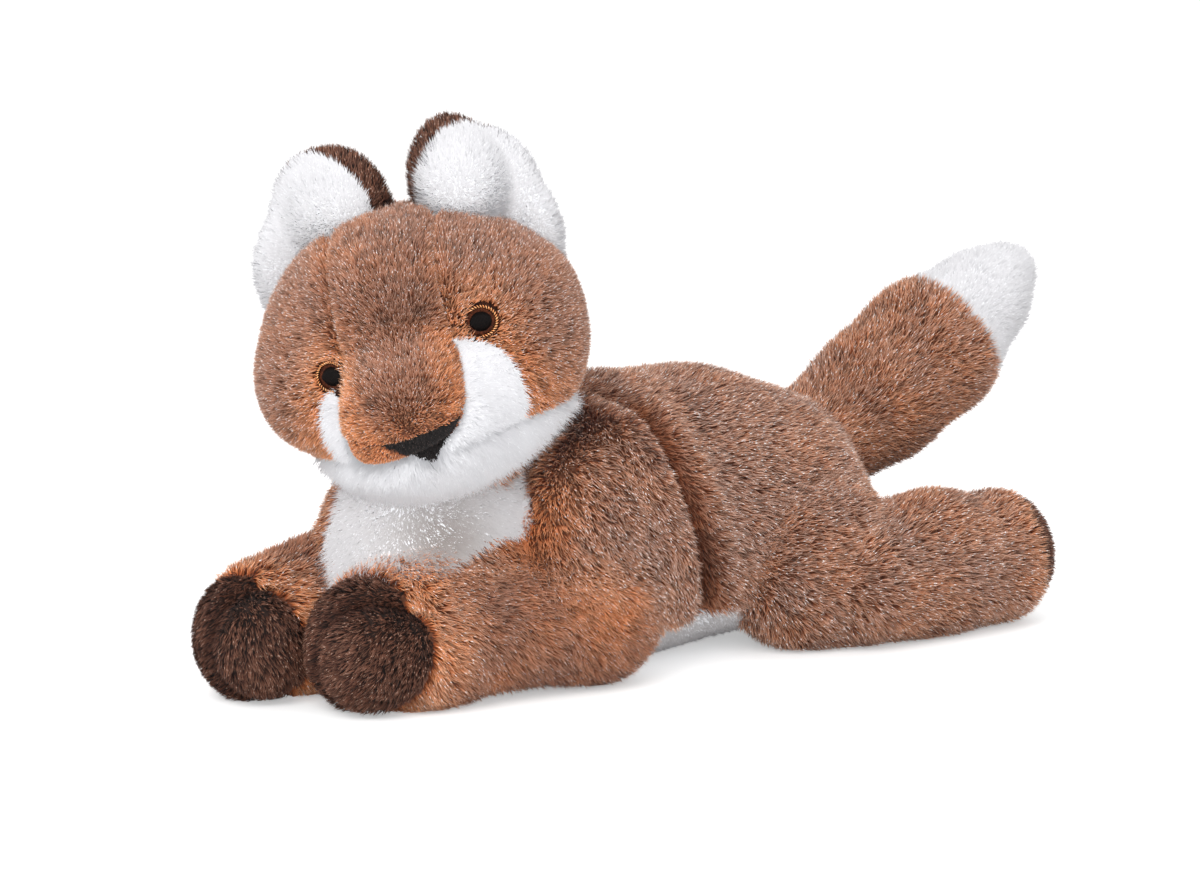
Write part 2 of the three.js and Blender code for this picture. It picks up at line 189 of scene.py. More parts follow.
def skin_over(name, form, middle, reach, subdivisions=5):
    """A ball of cloth drawn in or let out until it lies on the form."""
    bpy.ops.object.select_all(action="DESELECT")
    bpy.ops.mesh.primitive_ico_sphere_add(subdivisions=subdivisions, radius=1)
    skin = bpy.context.object
    skin.name = name
    rays = vectors_of(skin.data.vertices, "co") * np.array(reach, float)
    near, far = np.zeros(len(rays)), np.full(len(rays), 2.0)
    halvings = 22
    for _ in range(halvings):
        half = (near + far) / 2
        inside = form(middle + rays * half[:, None]) < 0
        near, far = np.where(inside, half, near), np.where(inside, far, half)
    put_points(skin, middle + rays * near[:, None])
    return skin


def unit(vectors):
    return vectors / np.maximum(np.linalg.norm(vectors, axis=1, keepdims=True), 1e-9)


def into_head(points):
    return (points - head_centre) @ head_turn


def from_head(points):
    return points @ head_turn.T + head_centre


def front_view(points):
    """Across and up on the face, along its skewed middle line."""
    x, z = points[:, 0], points[:, 2]
    return (
        x * math.cos(face_skew) + z * math.sin(face_skew),
        z * math.cos(face_skew) - x * math.sin(face_skew),
    )


head_form = stuffed([
    egg((0, 5, 2), (48, 39, 37)),
    egg((33, -5, -11), (21.5, 25, 24)),
    egg((-33, -5, -9.5), (20, 25, 20.5)),
    egg((0, -9, 12), (31, 29, 26)),
    egg((0, -35, -15), (18, 21, 16)),
    egg((0, -24, -27), (26, 24, 14)),
    egg((0, -2, -34), (33, 30, 15)),
    egg((36, -2, 3), (16.5, 24, 17)),
], 5)
gusset_half, jaw_line = 18, -31
snout_middle, snout_half = (-1.2, -9), (19.8, 18.5)
jowl_middle, jowl_half = (1, -20), (33.5, 20.5)
nose_middle, nose_top, nose_bottom, nose_half = 1, -24, -36, 13.5
FACE = [
    ("forehead_gusset", "plush_brown", ("forehead_gusset", "head_filling")),
    ("left_cheek", "plush_brown", ("left_cheek_panel",)),
    ("right_cheek", "plush_brown", ("right_cheek_panel",)),
    ("left_jowl", "plush_white", ("left_jowl_panel",)),
    ("right_jowl", "plush_white", ("right_jowl_panel",)),
    ("muzzle_top", "plush_brown", ("muzzle_top_panel",)),
    ("nose_patch", "plush_nose", ("nose_patch",)),
    ("throat_ruff", "plush_white", ("throat_ruff",)),
]


def snout_reach(points):
    """How far out on the panel over the muzzle a point lies: 0 in its middle, 1 on its seam."""
    across, rise = front_view(points)
    middle = snout_middle[0] + 0.19 * np.minimum(rise + 2, 0)
    aside = np.abs(across - middle) / (snout_half[0] + 0.06 * np.maximum(-rise, 0))
    drop = np.maximum(snout_middle[1] - rise, 0) / (21.5 - 0.1 * across)
    dome = np.maximum(rise - snout_middle[1], 0) / snout_half[1]
    corner = np.where(rise < snout_middle[1], 4, 2.4)
    return np.where(points[:, 1] < -18, aside ** corner + drop ** 6 + dome ** 2.2, 9)


def face_panel(points):
    """Which of FACE a point of the head lies on."""
    across, rise = front_view(points)
    x, y, z = points.T
    front = y < -20
    snout = snout_reach(points) < 1
    aside, lift = (across - jowl_middle[0]) / jowl_half[0], (rise - jowl_middle[1]) / jowl_half[1]
    jowl = front & (np.abs(aside) ** 2.6 + np.abs(lift) ** 2.6 < 1)
    taper_to = nose_half * (rise - nose_bottom) / (nose_top - nose_bottom)
    nose = front & (rise < nose_top) & (np.abs(across - nose_middle) < taper_to)
    found = np.where(np.abs(x) < gusset_half, 0, np.where(x > 0, 1, 2))
    found = np.where(jowl, np.where(x > 0, 3, 4), found)
    found = np.where(z < jaw_line, 7, found)
    found = np.where(snout, 5, found)
    return np.where(nose, 6, found)


gusset_groove, snout_groove = 2.4, 2.0
head_skin = skin_over("head_skin", head_form, np.array([0, 0, 0.0]), (50, 42, 40), subdivisions=6)
local = points_of(head_skin)
to_gusset = np.abs(local[:, 0]) - gusset_half
groove = np.where(local[:, 2] > 2, gusset_groove * np.exp(-(to_gusset / 2.0) ** 2), 0)
edge = snout_reach(local)
below_brow = np.clip((4 - front_view(local)[1]) / 10, 0, 1)
groove += snout_groove * below_brow * np.exp(-((edge - 1.15) / 0.35) ** 2)
groove -= (1 + below_brow) * np.clip(1.05 - edge, 0, 0.7) / 0.7
local -= normals_of(head_skin) * groove[:, None]
put_points(head_skin, from_head(local))


def drift(points, size, seed):
    """A change from -1 to 1 that runs slowly over the cloth."""
    low = np.floor(points / size).astype(np.int64)
    part = points / size - low
    part = part * part * (3 - 2 * part)
    total = np.zeros(len(points))
    for corner in range(8):
        step = np.array([corner & 1, corner >> 1 & 1, corner >> 2 & 1])
        key = (low + step) @ np.array([73856093, 19349663, 83492791]) + seed * 7919
        key = key.astype(np.uint64) * np.uint64(6364136223846793005)
        key = key ^ (key >> np.uint64(29))
        key = key * np.uint64(2862933555777941757)
        value = (key >> np.uint64(40)).astype(float) / 2 ** 23 - 1
        total += value * np.prod(np.where(step, part, 1 - part), axis=1)
    return total


def fade(points, middle, size):
    """A soft round patch: 1 at its middle, fading to 0 beyond its size."""
    return np.exp(-(np.linalg.norm(points - middle, axis=1) / size) ** 2)


def scatter(skin, per_mm2, seed):
    """Roots of the pile, evenly at random over a skin, with the way out of the cloth there."""
    rng = np.random.default_rng(seed)
    points, normals = points_of(skin), normals_of(skin)
    skin.data.calc_loop_triangles()
    corners = np.empty(3 * len(skin.data.loop_triangles), np.int32)
    skin.data.loop_triangles.foreach_get("vertices", corners)
    corners = corners.reshape(-1, 3)
    a, b, c = (points[corners[:, i]] for i in range(3))
    area = np.linalg.norm(np.cross(b - a, c - a), axis=1) / 2
    count = int(area.sum() * per_mm2)
    face = np.searchsorted(np.cumsum(area) / area.sum(), rng.random(count)).clip(0, len(area) - 1)
    s, t = rng.random(count), rng.random(count)
    over = s + t > 1
    s, t = np.where(over, 1 - s, s), np.where(over, 1 - t, t)
    share = np.stack([1 - s - t, s, t], 1)[:, :, None]
    return (points[corners[face]] * share).sum(1), unit((normals[corners[face]] * share).sum(1))


def srgb(*levels):
    """A colour from the 0 to 255 levels it has on a screen."""
    return tuple(((x / 255 + 0.055) / 1.055) ** 2.4 if x > 10 else x / 255 / 12.92 for x in levels)


def ramp(tree, source, stops):
    """A colour ramp with the given (place, screen colour) stops."""
    made = node(tree, "ValToRGB", {0: source})
    for _ in stops[2:]:
        made.color_ramp.elements.new(0.5)
    for element, (place, _) in zip(made.color_ramp.elements, stops):
        element.position = place
    for element, (_, colour) in zip(made.color_ramp.elements, stops):
        element.color = (*srgb(*colour), 1)
    return made.outputs[0]


def new_finish(name):
    finish = bpy.data.materials.new(name)
    finish.use_nodes = True
    return finish, finish.node_tree, finish.node_tree.nodes["Principled BSDF"]


# Each fibre has one of sixteen shades; the last of them is the fibre with a painted glint.
SHADES = 16
PAINTED_GLINT_KIND = SHADES - 1


def plush(name, cool, warm_dye_and_painted_shade, painted_glint, spread, rough, sheen):
    """Dyed pile: darker at the root, tipped at the end, each fibre its own shade, a few of them with a
    painted glint.
    The chart runs up the fibre; across it come the shades, each from the cool to the warm dye, which on
    white pile is a grey for painted shade."""
    finish, tree, shader = new_finish(name)
    chart = node(tree, "UVMap", {}, uv_map="OFBake")
    across, up, _ = node(tree, "SeparateXYZ", {0: chart.outputs[0]}).outputs
    steps = node(tree, "Math", {0: across, 1: SHADES}, operation="MULTIPLY").outputs[0]
    dye_and_painted_shade = node(tree, "Math", {0: steps}, operation="FRACT").outputs[0]
    kind = node(tree, "Math", {0: steps}, operation="FLOOR").outputs[0]
    blend = node(
        tree, "Mix", {"Factor": dye_and_painted_shade, "A": ramp(tree, up, cool), "B": ramp(tree, up, warm_dye_and_painted_shade)},
        data_type="RGBA",
    )
    shade = node(tree, "TexWhiteNoise", {"W": kind}, noise_dimensions="1D")
    level = node(tree, "MapRange", {
        "Value": shade.outputs["Value"], "To Min": 1 - spread, "To Max": 1 + spread,
    })
    tinted = node(
        tree, "VectorMath", {0: blend.outputs["Result"], "Scale": level.outputs[0]}, operation="SCALE",
    )
    black, full = (0, 0, 0), (255, 255, 255)
    # The painted glint: a fleck of the glint colour painted a little below the tip of the fibres of the last
    # shade.
    painted_glint_fleck = ramp(tree, up, [(0.67, black), (0.69, full), (0.77, full), (0.79, black)])
    painted_glint_mask = node(tree, "Math", {0: kind, 1: PAINTED_GLINT_KIND - 0.5}, operation="GREATER_THAN")
    both = node(tree, "Math", {0: painted_glint_mask.outputs[0], 1: painted_glint_fleck}, operation="MULTIPLY")
    last = node(
        tree, "Mix", {"Factor": both.outputs[0], "A": tinted.outputs[0], "B": (*srgb(*painted_glint), 1)},
        data_type="RGBA",
    )
    feed(shader, {
        "Base Color": last.outputs["Result"], "Roughness": rough, "Specular IOR Level": 0.25,
        "Sheen Weight": sheen, "Sheen Roughness": 0.5,
    })
    return finish


def backing(name, low, high):
    """The knitted ground of the plush, seen only where the pile parts."""
    finish, tree, shader = new_finish(name)
    place = node(tree, "TexCoord", {}).outputs["Object"]
    patch = node(tree, "TexNoise", {"Vector": place, "Scale": 320, "Detail": 3})
    knit = node(tree, "TexVoronoi", {"Vector": place, "Scale": 900})
    bump = node(tree, "Bump", {"Strength": 0.4, "Distance": 0.0003, "Height": knit.outputs["Distance"]})
    feed(shader, {
        "Base Color": ramp(tree, patch.outputs["Fac"], [(0.35, low), (0.65, high)]),
        "Roughness": 0.9, "Normal": bump.outputs[0],
    })
    return finish


# Each kind of plush: its pile, with a cool and a warm dye from root to tip and the colour of its painted
# glint, and the cloth that it grows on. On the white pile the warm dye is a grey, used as painted shade.
PLUSH = {
    "plush_brown": (
        plush(
            "brown_pile",
            [(0.0, (58, 24, 12)), (0.35, (100, 53, 34)), (0.65, (150, 109, 90)), (0.95, (205, 180, 168))],
            [(0.0, (108, 46, 19)), (0.35, (172, 90, 46)), (0.65, (208, 136, 88)), (0.95, (230, 184, 150))],
            (255, 253, 252), spread=0.54, rough=0.5, sheen=0.1,
        ),
        backing("brown_backing", (86, 48, 30), (124, 76, 52)),
    ),
    "plush_white": (
        plush(
            "white_pile",
            [(0.0, (198, 199, 205)), (0.4, (218, 219, 223)), (0.8, (229, 229, 233)), (1.0, (235, 236, 239))],
            # Mixed in fully, this grey is the painted shade on the chest under the ruff; it also greys the
            # belly, and a little the ear linings, throat and tail tip.
            [(0.0, (124, 114, 108)), (0.4, (146, 137, 132)), (0.8, (164, 156, 152)), (1.0, (180, 173, 170))],
            (242, 243, 246), spread=0.02, rough=0.7, sheen=0.1,
        ),
        backing("white_backing", (226, 227, 231), (240, 241, 244)),
    ),
    "plush_dark": (
        plush(
            "dark_pile",
            [(0.0, (16, 6, 3)), (0.4, (46, 21, 13)), (0.75, (86, 50, 36)), (1.0, (132, 94, 76))],
            [(0.0, (36, 16, 9)), (0.4, (84, 48, 33)), (0.75, (140, 96, 77)), (1.0, (180, 140, 120))],
            (190, 156, 138), spread=0.55, rough=0.6, sheen=0.05,
        ),
        backing("dark_backing", (24, 13, 9), (44, 26, 19)),
    ),
    "plush_nose": (
        plush(
            "nose_pile",
            [(0.0, (8, 5, 5)), (0.4, (16, 10, 10)), (0.8, (28, 19, 18)), (1.0, (44, 33, 31))],
            [(0.0, (12, 8, 8)), (0.4, (26, 18, 17)), (0.8, (44, 32, 30)), (1.0, (64, 50, 46))],
            (110, 92, 86), spread=0.25, rough=0.5, sheen=0.15,
        ),
        backing("nose_backing", (8, 5, 5), (20, 13, 13)),
    ),
}


def pile(name, slot, root, normal, comb, length, warmth_and_painted_shade, seed, lean=(22, 58), lock=1.7,
         pull=0.28, stray=0.4, smooth=0.5, sheared_and_painted_shade=1.0):
    """Tapered fibres that stand on the cloth, lean the way they are combed and hang together in locks."""
    rng = np.random.default_rng(seed)
    count, white = len(root), slot == "plush_white"
    swirl, sunk, lowest, thick = 0.4, 0.3, 0.15, 0.36
    along = unit(comb - (comb * normal).sum(1, keepdims=True) * normal)
    side = np.cross(normal, along)
    turn = (rng.normal(0, stray, count) + swirl * drift(root, 9, seed))[:, None]
    along = along * np.cos(turn) + side * np.sin(turn)
    wave = 8 * drift(root, 6, seed + 1)
    low, high = (np.radians(tilt + rng.normal(0, 9, count) + wave)[:, None] for tilt in lean)
    # One fibre in five stands up straighter than its neighbours.
    proud = np.where(rng.random(count) < 0.2, 0.45, 1)[:, None]
    low, high = low * proud, high * proud
    reach = (length * rng.uniform(0.72, 1.12, count))[:, None] / 2
    root = root - normal * sunk
    middle = root + (normal * np.cos(low) + along * np.sin(low)) * reach
    tip = middle + (normal * np.cos(high) + along * np.sin(high)) * reach
    # The fibres of one cell of a bent grid hang together, more at their tips than half-way up.
    bent = root + 1.3 * np.stack([drift(root, 3.1, seed + k) for k in (2, 3, 4)], 1)
    cell = np.floor(bent / lock).astype(np.int64) @ np.array([1, 4001, 16008001])
    _, cell = np.unique(cell, return_inverse=True)
    held = np.maximum(np.bincount(cell), 1)
    for share, end_points in ((0.3 * pull, middle), (pull, tip)):
        together = np.stack([np.bincount(cell, x) / held for x in end_points.T], 1)
        end_points += share * (together[cell] - end_points)
    for end_points in (root, middle, tip):
        end_points[:, 2] = np.maximum(end_points[:, 2], lowest)
    grain = unit(tip - root)
    roll = rng.normal(0, 0.35 if white else 0.7, count)[:, None]
    flat = unit(np.cross(grain, normal))
    rise = np.cross(flat, grain)
    across = flat * np.cos(roll) + rise * np.sin(roll)
    face = unit(np.cross(across, grain))
    back = (face * normal).sum(1) < 0
    across[back] *= -1
    face[back] *= -1
    # A little more than half of a lock has one shade, and one fibre in ten, a little wider, has a painted
    # glint.
    kind = np.where(rng.random(count) < 0.55, cell * 7 % PAINTED_GLINT_KIND, rng.integers(0, PAINTED_GLINT_KIND, count))
    kind[rng.random(count) < 0.1] = PAINTED_GLINT_KIND
    wide = (thick * rng.uniform(0.75, 1.25, count) * np.where(kind == PAINTED_GLINT_KIND, 1.1, 1))[:, None] / 2
    # A fibre is a strip of one quad and, at its tip, one triangle.
    strip = np.stack([
        root - across * wide, root + across * wide,
        middle + across * wide * 0.85, middle - across * wide * 0.85, tip,
    ], 1).reshape(-1, 3)
    first = np.arange(count)[:, None] * 5
    corners = np.concatenate([first + [0, 1, 2, 3], first + [3, 2, 4]], 1).ravel()
    starts = (np.arange(count)[:, None] * 7 + [0, 4]).ravel()
    mesh = bpy.data.meshes.new(name)
    mesh.vertices.add(5 * count)
    mesh.vertices.foreach_set("co", (strip * MM).astype(np.float32).ravel())
    mesh.loops.add(7 * count)
    mesh.loops.foreach_set("vertex_index", corners.astype(np.int32))
    mesh.polygons.add(2 * count)
    mesh.polygons.foreach_set("loop_start", starts.astype(np.int32))
    mesh.polygons.foreach_set("use_smooth", np.ones(2 * count, bool))
    column = (kind + 0.08 + 0.84 * np.clip(warmth_and_painted_shade, 0, 1)) / SHADES
    edge = 0.002
    u = column[:, None] + np.array([-edge, edge, edge, -edge, -edge, edge, 0])
    v = np.tile([0.02, 0.02, 0.55, 0.55, 0.55, 0.55, 0.98], (count, 1)) * np.reshape(sheared_and_painted_shade, (-1, 1))
    chart = mesh.uv_layers.new(name="OFBake")
    chart.uv.foreach_set("vector", np.stack([u, v], 2).astype(np.float32).ravel())
    mesh.update(calc_edges=True)
    mesh.validate()
    soft = np.repeat(unit(smooth * normal + (1 - smooth) * face), 5, axis=0)
    mesh.normals_split_custom_set_from_vertices(soft.tolist())
    mesh.materials.append(PLUSH[slot][0])
    piece = bpy.data.objects.new(name, mesh)
    bpy.context.scene.collection.objects.link(piece)
    # White fibres let most of the light through, so they neither shade nor grey each other.
    piece.visible_shadow = piece.visible_diffuse = not white
    return piece


def select_only(piece):
    bpy.ops.object.select_all(action="DESELECT")
    piece.select_set(True)
    bpy.context.view_layer.objects.active = piece


def sew(skin, panel_of, parts):
    """Cuts a skin along its seams into parts, each (name, slot, ...), and thickens their cloth."""
    index = panel_of(vectors_of(skin.data.polygons, "center") / MM)
    for part in parts:
        skin.data.materials.append(PLUSH[part[1]][1])
    skin.data.polygons.foreach_set("material_index", index.astype(np.int32))
    select_only(skin)
    bpy.ops.object.mode_set(mode="EDIT")
    bpy.ops.mesh.select_all(action="SELECT")
    bpy.ops.mesh.separate(type="MATERIAL")
    bpy.ops.object.mode_set(mode="OBJECT")
    panels, cloth_thick = [None] * len(parts), 1.2
    for panel in list(bpy.context.selected_objects):
        number = int(panel_of(np.array([panel.data.polygons[0].center]) / MM)[0])
        panel.data.materials.clear()
        panel.data.materials.append(PLUSH[parts[number][1]][1])
        panel.data.polygons.foreach_set(
            "material_index", np.zeros(len(panel.data.polygons), np.int32)
        )
        select_only(panel)
        bpy.ops.object.shade_smooth()
        wall = panel.modifiers.new("cloth", "SOLIDIFY")
        wall.thickness = cloth_thick * MM
        wall.offset = -1
        bpy.ops.object.modifier_apply(modifier=wall.name)
        panels[number] = panel
    return panels


def stuff(piece, name, cad):
    """Names a panel and hides the solids it stands for."""
    piece.name = name
    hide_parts(*cad)


ear_skew, ear_lean, ear_half, ear_cup = math.radians(-6), 12, 22, 7


def ear_form(sign):
    """An ear's form and its middle, in the head's frame; the form cups forwards."""
    def place(x, z):
        return (
            sign * x * math.cos(ear_skew) - z * math.sin(ear_skew),
            16,
            sign * x * math.sin(ear_skew) + z * math.cos(ear_skew),
        )

    lean = sign * ear_lean - math.degrees(ear_skew)
    if sign > 0:
        flat = stuffed([
            egg(place(28, 35.5), (18.8, 6, 26), lean),
            egg(place(39, 21), (12.5, 6, 22), lean),
            egg(place(20.5, 48), (13, 6, 20)),
        ], 1.5)
        flat = stuffed([flat, egg((28, 8, 44), (13, 12, 15.5))], 3)
    else:
        flat = stuffed([
            egg(place(25, 35), (17, 6, 26), lean),
            egg(place(36.5, 20), (14, 6, 21), lean),
            egg(place(18.5, 43), (15, 6, 18.5)),
        ], 2.2)
        flat = stuffed([flat, egg((-18, 10, 43), (13, 10, 13))], 3)
    middle = np.array(place(31, 34))

    def depth(points):
        bent = points.copy()
        bent[:, 1] += ear_cup * ((points[:, 0] - middle[0]) / ear_half) ** 2
        return flat(bent)

    return depth, middle


eye_places = {}
for side in ("left", "right"):
    low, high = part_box(side + "_eye")
    eye_places[side] = into_head(np.array([(low + high) / 2]) / MM)[0]

root, normal = scatter(head_skin, per_mm2=6.3, seed=11)
inside = into_head(root)
panel = face_panel(inside)
white = np.isin(panel, (3, 4, 7))
rng = np.random.default_rng(12)
across, rise = front_view(inside)
x, y, z = inside.T
to_gusset = np.abs(x) - gusset_half
length = np.select(
    [panel == 0, panel <= 2, panel <= 4, panel == 5, panel == 6],
    [4.3, 4.6, 5.5, 3.8 * np.clip((rise - nose_top) / 5, 0.4, 1), 1.5], 10,
)
length = np.where((panel <= 2) & (y > 10), 6.0, length)
length *= 1 - 0.45 * (z > 4) * np.exp(-(to_gusset / 1.6) ** 2)
comb = inside - np.where((panel == 5)[:, None], [[0, -60, -24]], [[0, -62, -8]])
comb[:, 2] -= np.where(panel == 7, 40, 0) + np.clip(y - 5, 0, 20)
comb = comb @ head_turn.T
warmth_and_painted_shade = 0.06 + 0.18 * drift(root, 11, 5) + 0.14 * drift(root, 4, 6)
for place in eye_places.values():
    warmth_and_painted_shade += 0.95 * fade(inside, place, 12.5)
warmth_and_painted_shade += 0.35 * np.exp(-(to_gusset / 3) ** 2)
warmth_and_painted_shade += np.where(panel < 3, 0.3 * np.clip((-8 - z) / 16, 0, 1), 0)
beside_jowl = np.hypot((across - jowl_middle[0]) / jowl_half[0], (rise - jowl_middle[1]) / jowl_half[1])
warmth_and_painted_shade += np.where(panel < 3, 0.6 * np.exp(-((beside_jowl - 1.1) / 0.2) ** 2), 0)
snout_sides = 0.8 * np.clip((np.abs(across + 1) - 8) / 8, 0, 1) + 0.6 * np.clip((-13 - rise) / 8, 0, 1)
warmth_and_painted_shade = np.where(panel == 5, snout_sides + 0.12, warmth_and_painted_shade)
warmth_and_painted_shade = np.where(white, 0, warmth_and_painted_shade)
from_eye = np.min([np.linalg.norm(inside - place, axis=1) for place in eye_places.values()], axis=0)
eye_clearing, ear_clearing = 6.0, 1
clear = from_eye > eye_clearing
for sign in (1, -1):
    clear &= ear_form(sign)[0](inside) > -ear_clearing
tipped = 0.84 + 0.14 * np.exp(-(from_eye / 12) ** 2)
under = (panel == 7) & (y > -20)
share = np.select([under, white, y > 8], [0.3, 0.9, 0.32], 0.9)
keep = clear & (rng.random(len(root)) < share)
panels = sew(head_skin, lambda points: face_panel(into_head(points)), FACE)
for number, (name, slot, cad) in enumerate(FACE):
    mine = keep & (panel == number)
    is_white = slot == "plush_white"
    tuft = pile(
        name + "_pile", slot, root[mine], normal[mine], comb[mine], length[mine], warmth_and_painted_shade[mine],
        seed=20 + number, lean=(16, 48), stray=0.5, smooth=0.95 if is_white else 0.5,
        pull=0.12 if is_white else 0.2, sheared_and_painted_shade=1 if is_white else tipped[mine],
    )
    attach(tuft, "head")
    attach(panels[number], "head")
    stuff(panels[number], name + "_cloth", cad)

# The embroidered eyes: a dark brown rim of satin stitches, a thin ring of copper thread and a black pupil.
# They are worked straight through the plush of the cheeks.


def thread(name, low, high, rough, metal=0):
    """Embroidery thread with a fine lengthwise lustre."""
    finish, tree, shader = new_finish(name)
    place = node(tree, "TexCoord", {}).outputs["Object"]
    patch = node(tree, "TexNoise", {"Vector": place, "Scale": 1500, "Detail": 2})
    feed(shader, {
        "Base Color": ramp(tree, patch.outputs["Fac"], [(0.35, low), (0.7, high)]),
        "Roughness": rough, "Metallic": metal, "Specular IOR Level": 0.12,
    })
    return finish


def stitches(name, strokes, thick, rise, finish):
    """Short raised threads, each laid from one point of the cloth to another."""
    rings, sides = 5, 5
    points, faces = [], []
    for start, stop, out in strokes:
        run = stop - start
        flat = np.cross(run, out)
        flat /= np.linalg.norm(flat)
        first = len(points)
        for i in range(rings):
            t = i / (rings - 1)
            height = rise * math.sin(math.pi * (0.12 + 0.76 * t))
            girth = thick / 2 * (0.65 + 0.35 * math.sin(math.pi * t))
            middle = start + run * t + out * height
            for j in range(sides):
                angle = 2 * math.pi * j / sides
                points.append(middle + flat * girth * math.cos(angle) + out * girth * 0.7 * math.sin(angle))
        for i in range(rings - 1):
            for j in range(sides):
                k = (j + 1) % sides
                here = first + i * sides
                faces.append((here + j, here + sides + j, here + sides + k, here + k))
        faces.append(tuple(first + j for j in range(sides)))
        faces.append(tuple(first + (rings - 1) * sides + j for j in reversed(range(sides))))
    mesh = bpy.data.meshes.new(name)
    mesh.from_pydata([tuple(p * MM) for p in points], [], faces)
    mesh.materials.append(finish)
    piece = bpy.data.objects.new(name, mesh)
    bpy.context.scene.collection.objects.link(piece)
    select_only(piece)
    bpy.ops.object.mode_set(mode="EDIT")
    bpy.ops.mesh.select_all(action="SELECT")
    bpy.ops.mesh.normals_make_consistent(inside=False)
    bpy.ops.object.mode_set(mode="OBJECT")
    bpy.ops.object.shade_smooth()
    return piece


rim_thread = thread("rim_thread", (30, 14, 9), (66, 34, 21), rough=0.6)
copper_thread = thread("copper_thread", (206, 120, 66), (255, 206, 150), rough=0.25, metal=0.7)
iris_thread = thread("iris_thread", (44, 20, 12), (100, 50, 28), rough=0.5)
pupil_thread = thread("pupil_thread", (4, 2, 2), (16, 9, 8), rough=0.55)
for side, place in eye_places.items():
    step = 0.5
    slope = np.array([
        head_form(np.array([place + step * axis]))[0] - head_form(np.array([place - step * axis]))[0]
        for axis in np.eye(3)
    ])
    out = slope / np.linalg.norm(slope)
    level = np.cross(out, (0, 0, 1.0))
    level /= np.linalg.norm(level)
    steep = np.cross(level, out)

    def on_cloth(reach, angle, lift):
        """A point above the skin at this distance and angle round the eye's middle."""
        spot = place + (level * math.cos(angle) * 1.04 + steep * math.sin(angle) * 0.96) * reach
        high, low = 6.0, -8.0
        halvings = 18
        for _ in range(halvings):
            half = (high + low) / 2
            if head_form(np.array([spot + out * half]))[0] > 0:
                high = half
            else:
                low = half
        return spot + out * (low + lift)

    def ring(count, outer, inner, lift, slant):
        """Stitches that lie like spokes between two distances from the middle."""
        turns = [2 * math.pi * i / count for i in range(count)]
        return [(on_cloth(outer, t, lift), on_cloth(inner, t + slant, lift), out) for t in turns]

    # Copper thread shows on a little more than half of the ring.
    glow_from, glow_turn, spokes = 0.9 if side == "left" else -1.6, 3.9, 36
    copper = [stroke for i, stroke in enumerate(ring(spokes, 5.8, 4.7, 1.5, 0.16))
              if (2 * math.pi * i / spokes - glow_from) % (2 * math.pi) < glow_turn]
    pupil_radius, bars = 3.5, []
    for i in range(-7, 8):
        offset = i * 0.46
        half = math.sqrt(pupil_radius ** 2 - offset ** 2)
        bars.append([
            on_cloth(math.hypot(offset, half), math.atan2(turn * half, offset), 0.7) for turn in (1, -1)
        ] + [out])
    for layer, strokes, thick, rise, finish in (
        ("rim", ring(62, 7.4, 5.0, 0.5, 0.05), 0.8, 0.8, rim_thread),
        ("iris", ring(44, 5.0, 3.1, 0.6, 0.07), 0.7, 0.6, iris_thread),
        ("ring", copper, 0.55, 0.4, copper_thread),
        ("pupil", bars, 0.75, 1.0, pupil_thread),
    ):
        piece = stitches(f"{side}_eye_{layer}", strokes, thick, rise, finish)
        put_points(piece, from_head(points_of(piece)))
        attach(piece, "head")
    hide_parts(side + "_eye")

# The ears: large flat pockets, fluffy white inside and dark brown behind, cupped forwards.
# The dark back wraps round the inner edge; each ear is sewn into the seam beside the forehead.
# Name, plush, length of the fibres, their lean at root and tip, and the share of them that is grown.
EAR = [("lining", "plush_white", 4.8, (14, 42), 0.9), ("back", "plush_dark", 4.6, (20, 52), 0.6)]
for side, sign, turn, over_top in (("left", 1, 0.5, 0.07), ("right", -1, 0.36, -0.02)):
    form, middle = ear_form(sign)
    ear = skin_over(side + "_ear_skin", form, middle, (25, 18, 31))
    put_points(ear, from_head(points_of(ear)))

    def ear_panel(points, sign=sign, middle=middle, turn=turn, over_top=over_top):
        inside = into_head(points)
        aside = inside[:, 0] - middle[0]
        ahead = inside[:, 1] + ear_cup * (aside / ear_half) ** 2 - middle[1]
        return np.where(sign * turn * aside > over_top * (inside[:, 2] - middle[2]) + ahead, 0, 1)

    root, normal = scatter(ear, per_mm2=7.2, seed=40 + sign)
    panel = ear_panel(root)
    inside = into_head(root)
    outside = head_form(inside) > -3
    comb = (inside - np.array([sign * 24, 12, 8])) @ head_turn.T
    chance = np.random.default_rng(50 + sign).random(len(root))
    panels = sew(ear, ear_panel, EAR)
    for number, (part, slot, fibre, tilt, share) in enumerate(EAR):
        mine = outside & (chance < share) & (panel == number)
        tuft = pile(
            f"{side}_ear_{part}_pile", slot, root[mine], normal[mine], comb[mine],
            np.full(mine.sum(), fibre), np.full(mine.sum(), 0.14) + 0.14 * number,
            seed=44 + sign + number, lean=tilt, stray=0.5, smooth=0.5 if number else 0.95,
            pull=0.2 if number else 0.12,
        )
        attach(tuft, side + "_ear")
        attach(panels[number], side + "_ear")
        stuff(panels[number], f"{side}_ear_{part}_cloth", [f"{side}_ear_{part}"])

